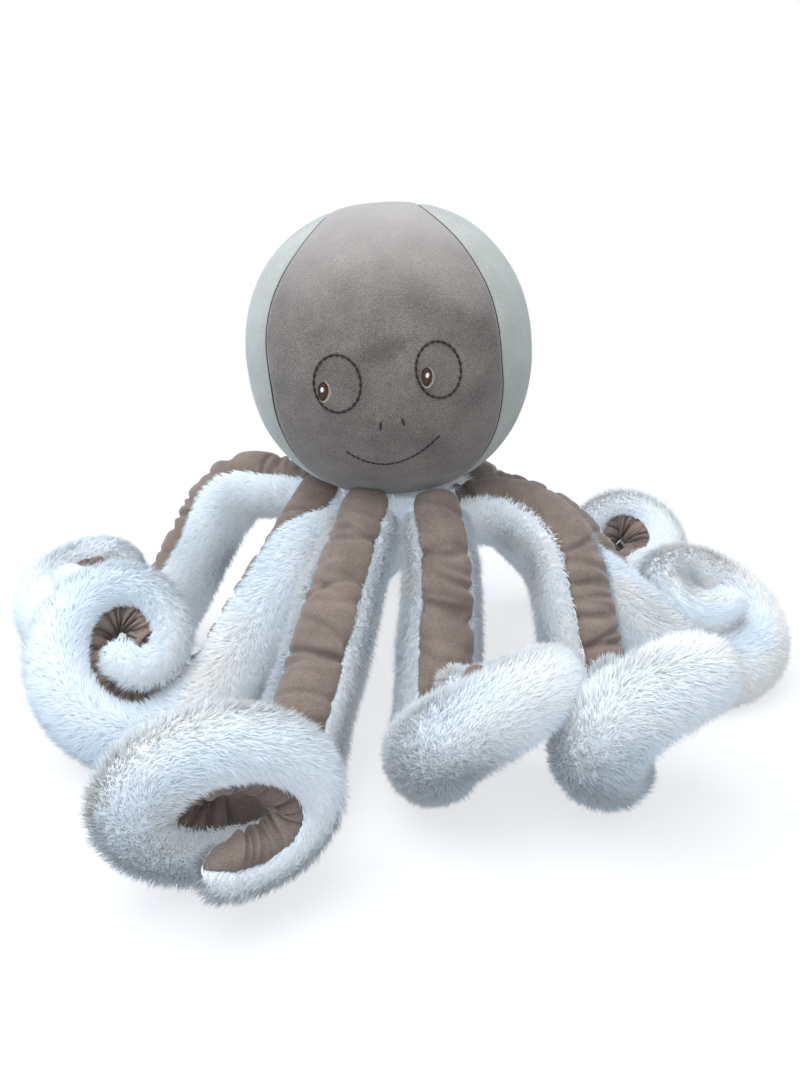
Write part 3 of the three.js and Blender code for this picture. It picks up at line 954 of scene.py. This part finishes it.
def lean_strands(seed, root, out, nap, across, cells, length, lean):
    """Tips for strands that lean from their roots along the nap, and draw together in tufts."""
    rng = np.random.default_rng(seed)
    count = len(root)
    tilt = np.radians(np.clip(lean + rng.normal(0, pile_spread, count), lean_least, lean_most))[:, None]
    sway = rng.normal(0, pile_sway, count)[:, None]
    direction = nap * np.cos(sway) + across * np.sin(sway)
    long = (length * rng.uniform(*pile_length_share, count))[:, None]
    tip = root + (out * np.cos(tilt) + direction * np.sin(tilt)) * long
    _, tuft = np.unique(np.round(cells).astype(np.int64), axis=0, return_inverse=True)
    tuft = tuft.ravel()
    number = np.bincount(tuft)
    mean = np.stack([np.bincount(tuft, tip[:, k]) for k in range(3)], axis=-1) / number[:, None]
    draw = (tuft_draw * rng.uniform(*tuft_draw_share, count))[:, None]
    return tip + (mean[tuft] - tip) * draw


# How the pile lies on an arm. By the strip it is combed away, shorter and more upright, each over a width in
# degrees round the arm. Its nap, length and tint waver, each over a length of arm and a rate round it.
pile_overlap = 5.0
bare_root = 0.55
pile_samples = 600
root_sink = 0.3 * mm
comb_turn, comb_width, comb_fade, comb_least = 1.1, 24, 45, 0.1
nap_turn, nap_length, nap_round = 0.8, 22 * mm, 1.8
tuft_jitter = 0.35
edge_length, edge_length_width = 0.7, 30
thin_arm_length = 0.75
long_share, long_length, long_round = 0.12, 14 * mm, 2.4
edge_upright, edge_upright_width = 16, 12
tint_length, tint_round, tint_scatter = 30 * mm, 1.4, 0.45
cool_share = 0.25
usual_cream_share = 0.2
cream_shares = {"rear_right": 0.6}


def arm_pile(name, path, seed, cream_share):
    """The pile of one arm, spread evenly over the plush's face. Its materials are white, cream and cool."""
    rng = np.random.default_rng(seed)
    fine = np.linspace(path.along[0] + root_radius * bare_root, path.along[-1], pile_samples)
    weight = np.cumsum(path.at(path.radius, fine))
    s = np.interp(rng.uniform(0, weight[-1], pile_strands), weight, fine)
    low = strip_half_angle - pile_overlap
    a = rng.uniform(low, 360 - low, pile_strands)
    round_arm = np.radians(a)
    root, out = path.around(s, a, backing_radius(path, s, a) - root_sink)
    ahead, _, _ = path.frame_at(s)
    across = np.cross(ahead, out)
    edge = np.minimum(a - low, 360 - low - a)
    away = np.where(a < 180, 1.0, -1.0) * np.exp(-edge / comb_fade)
    away = away * np.clip(edge / comb_width, comb_least, 1)
    turn = comb_turn * away + nap_turn * soft_noise(seed + 1, s / nap_length, round_arm * nap_round)
    nap = ahead * np.cos(turn)[:, None] - across * np.sin(turn)[:, None]
    sideways = np.cross(out, nap)
    radius = path.at(path.radius, s)
    shift = rng.uniform(-tuft_jitter, tuft_jitter, (2, pile_strands))
    cells = np.stack([s / tuft_size + shift[0], round_arm * radius / tuft_size + shift[1]], axis=-1)
    length = pile_length * between(edge_length, 1, np.clip(edge / edge_length_width, 0, 1))
    length *= np.clip(radius / curl_radius, thin_arm_length, 1)
    length *= 1 + long_share * soft_noise(seed + 2, s / long_length, round_arm * long_round)
    lean = pile_lean - edge_upright * np.exp(-edge / edge_upright_width)
    tip = lean_strands(seed + 3, root, out, nap, sideways, cells, length, lean)
    tint = soft_noise(seed + 4, s / tint_length, round_arm * tint_round)
    tint = tint + rng.normal(0, tint_scatter, pile_strands)
    cream, cool = tint > np.quantile(tint, 1 - cream_share), tint < np.quantile(tint, cool_share)
    return strands_mesh(name, root, out, tip, np.where(cream, 1, np.where(cool, 2, 0)))


# Long-pile plush: white polyester fibre, knitted in and cut, with cream and cool tints in patches spread at
# random. It is matt, and its faint glow is painted light, standing for the light that the clear fibres hand
# on inside the pile.
fibre = {
    "Roughness": 0.9, "Specular_IOR_Level": 0.2, "Sheen_Weight": 0.2, "Sheen_Roughness": 0.5,
    "Emission_Color": srgb("#E6F1FB"), "Emission_Strength": 0.15,
}
white_pile = plain_material("white_long_pile", "#F6FAFE", **fibre)
cream_pile = plain_material("cream_tinted_pile", "#F8F2EA", **fibre)
cool_pile = plain_material("cool_tinted_pile", "#E3EFF9", **fibre)
backing_cloth = plain_material("knitted_backing", "#F4F7F9", **fibre)

# The strips' velour is a warmer brown than the face's.
gathered_velour = brushed_velour(
    "gathered_taupe_velour", base="#8A796F", stroked="#A39084", grain="#CBC5C0",
    stroke_size=16 * mm, depth=0.45 * mm, sheen=0.3,
)

strip_seed = 100
pile_seed, pile_seed_step = 200, 10
for number, (name, bends) in enumerate(poses.items()):
    arm = f"arm_{name}"
    path = Path(rings_to_ground(straight | bends), strip_turns.get(name, (0, 0)))
    backing = plush_backing(f"{arm}_cover", path)
    strip = velour_strip(f"{arm}_velour", path, strip_seed + number)
    seed = pile_seed + pile_seed_step * number
    pile = arm_pile(f"{arm}_pile", path, seed, cream_shares.get(name, usual_cream_share))
    backing.data.materials.append(backing_cloth)
    strip.data.materials.append(gathered_velour)
    for tint in (white_pile, cream_pile, cool_pile):
        pile.data.materials.append(tint)
    for piece in (backing, strip, pile):
        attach(piece, arm)
    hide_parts(f"{arm}_plush", f"{arm}_filling")
    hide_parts(f"{arm}_strip")

# Body: the short stuffed hub under the head, of the same long-pile plush, hollowed by the round arm roots
# that are sewn to it. A small velour panel closes its underside.
hub_voxel, hub_smoothing = 2.5 * mm, 4
base_voxel, base_smoothing = 1.2 * mm, 3
smoothing_factor = 0.5
merge_distance = 0.01 * mm


def soft_copy(node, name, voxel, smoothing):
    """A copy of a solid with its edges softened, as cloth over stuffing."""
    piece = own_copy(frame["nodes"][node], name)
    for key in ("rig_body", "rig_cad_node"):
        del piece[key]
    piece.parent = None
    piece.matrix_world = Matrix.Identity(4)
    select_only(piece)
    bpy.ops.object.mode_set(mode="EDIT")
    bpy.ops.mesh.select_all(action="SELECT")
    bpy.ops.mesh.remove_doubles(threshold=merge_distance)
    bpy.ops.object.mode_set(mode="OBJECT")
    modify(piece, "REMESH", mode="VOXEL", voxel_size=voxel)
    modify(piece, "SMOOTH", factor=smoothing_factor, iterations=smoothing)
    piece.data.materials.clear()
    bpy.ops.object.shade_smooth()
    return piece


hub = soft_copy("body_core", "body_cover", hub_voxel, hub_smoothing)
hub.data.materials.append(backing_cloth)
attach(hub, "head")
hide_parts("body_core")

base = soft_copy("base_panel", "base_velour", base_voxel, base_smoothing)
base.data.materials.append(gathered_velour)
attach(base, "head")
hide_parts("base_panel")


# The hub's pile starts clear of the arm roots, is a little shorter than the arms', and is combed downwards.
hub_strands = 18000
hub_pile_seed = 400
hub_clearance = 1.5 * mm
hub_scatter = 0.5
hub_pile_share = 0.8


def hub_pile(name, count, seed):
    """Pile on the hub's outer face, where no arm root covers it."""
    rng = np.random.default_rng(seed)
    faces = [f for f in hub.data.polygons if f.area > 0]
    areas = np.array([f.area for f in faces])
    centres = np.array([f.center for f in faces])
    normals = np.array([f.normal for f in faces])
    roots = np.array(root_places)
    to_root = np.linalg.norm(centres[:, None, :] - roots[None], axis=2).min(axis=1)
    clear = to_root > root_radius + hub_clearance
    outward = (normals * (centres - np.array([*toy_middle.xy, root_height]))).sum(1) > 0
    chance = areas * (clear & outward)
    pick = rng.choice(len(faces), count, p=chance / chance.sum())
    out = normals[pick]
    root = centres[pick] + np.cross(out, rng.normal(size=(count, 3))) * hub_voxel * hub_scatter
    down = np.array([0, 0, -1.0]) - out * -out[:, 2:3]
    nap = down / (np.linalg.norm(down, axis=1, keepdims=True) + 1e-6)
    across = np.cross(out, nap)
    length = pile_length * hub_pile_share
    tip = lean_strands(seed + 1, root, out, nap, across, root / tuft_size, length, pile_lean)
    return strands_mesh(name, root, out, tip, np.zeros(count, int))


body_pile = hub_pile("body_pile", hub_strands, hub_pile_seed)
body_pile.data.materials.append(white_pile)
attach(body_pile, "head")

# Floor: a plain, matt white board that keeps the toy's shadow and passes into the white background. Close by
# it shows its own shade, and it glows white from a little way off.
floor_size = 8
fade_start, fade_end = 0.3, 0.9
glow_near, glow_far = 0.66, 1.0
floor_seen = "#F6F6F6"
floor_under = "#C4C4C4"


def shows_background(tree):
    """1 for the rays that show the background: the camera's, and those by way of a mirror or glass."""
    rays = add_node(tree, "ShaderNodeLightPath").outputs
    either = add_node(
        tree, "ShaderNodeMath", {"operation": "MAXIMUM"}, _0=rays["Is Camera Ray"], _1=rays["Is Glossy Ray"],
    )
    every = add_node(
        tree, "ShaderNodeMath", {"operation": "MAXIMUM"},
        _0=either.outputs[0], _1=rays["Is Transmission Ray"],
    )
    return every.outputs[0]


bpy.ops.object.select_all(action="DESELECT")
bpy.ops.mesh.primitive_plane_add(size=floor_size, location=(toy_middle.x, toy_middle.y, 0))
floor = bpy.context.object
floor.name = "floor"
floor_finish = bpy.data.materials.new("white_floor")
floor_finish.use_nodes = True
tree = floor_finish.node_tree
tree.nodes.clear()
showing = shows_background(tree)
place = add_node(tree, "ShaderNodeTexCoord").outputs["Object"]
away = add_node(tree, "ShaderNodeVectorMath", {"operation": "LENGTH"}, _0=place)
plain = ramp(tree, away.outputs["Value"], fade_start, fade_end, To_Min=glow_near, To_Max=glow_far)
seen = add_node(tree, "ShaderNodeMath", {"operation": "MULTIPLY"}, _0=showing, _1=plain)
tone = blend(tree, showing, srgb(floor_under), srgb(floor_seen))
matt = add_node(tree, "ShaderNodeBsdfDiffuse", Color=tone)
glow = add_node(tree, "ShaderNodeEmission", Color=(1, 1, 1, 1), Strength=1.0)
mixed = add_node(tree, "ShaderNodeMixShader", _0=seen.outputs[0], _1=matt.outputs[0], _2=glow.outputs[0])
add_node(tree, "ShaderNodeOutputMaterial", Surface=mixed.outputs[0])
floor.data.materials.append(floor_finish)

# Light: a soft sky, warmer and darker low down and cool and bright above and to the left, and one wide soft
# lamp overhead, in front and to the left.
sky_way = (-0.42, -0.12, 0.9)
sky_low, sky_high = -0.2, 0.8
low_sky = (0.56, 0.55, 0.52, 1)
high_sky = (0.86, 1.08, 1.32, 1)
sky_strength = 0.9
lamp_place = Vector((-0.4, -0.5, 1.7))
lamp_aim = Vector((0, 0, 0.15))
lamp_size = 1.6
lamp_power = 23
lamp_colour = (1.0, 0.99, 0.97)

world = bpy.data.worlds.new("soft_sky")
bpy.context.scene.world = world
world.use_nodes = True
tree = world.node_tree
tree.nodes.clear()
way = add_node(tree, "ShaderNodeTexCoord").outputs["Generated"]
height = add_node(tree, "ShaderNodeVectorMath", {"operation": "DOT_PRODUCT"}, _0=way, _1=sky_way)
rise = ramp(tree, height.outputs["Value"], sky_low, sky_high)
tint = blend(tree, rise, low_sky, high_sky)
sky = add_node(tree, "ShaderNodeBackground", Color=tint, Strength=sky_strength)
white = add_node(tree, "ShaderNodeBackground", Color=(1, 1, 1, 1), Strength=1.0)
mixed = add_node(
    tree, "ShaderNodeMixShader", _0=shows_background(tree), _1=sky.outputs[0], _2=white.outputs[0],
)
add_node(tree, "ShaderNodeOutputWorld", Surface=mixed.outputs[0])

bpy.ops.object.light_add(type="AREA", location=toy_middle + lamp_place)
lamp = bpy.context.object
lamp.name = "overhead_lamp"
lamp.data.shape = "DISK"
lamp.data.size = lamp_size
lamp.data.energy = lamp_power
lamp.data.color = lamp_colour
lamp.rotation_euler = (toy_middle + lamp_aim - lamp.location).to_track_quat("-Z", "Y").to_euler()

bpy.context.scene.view_settings.view_transform = "Standard"
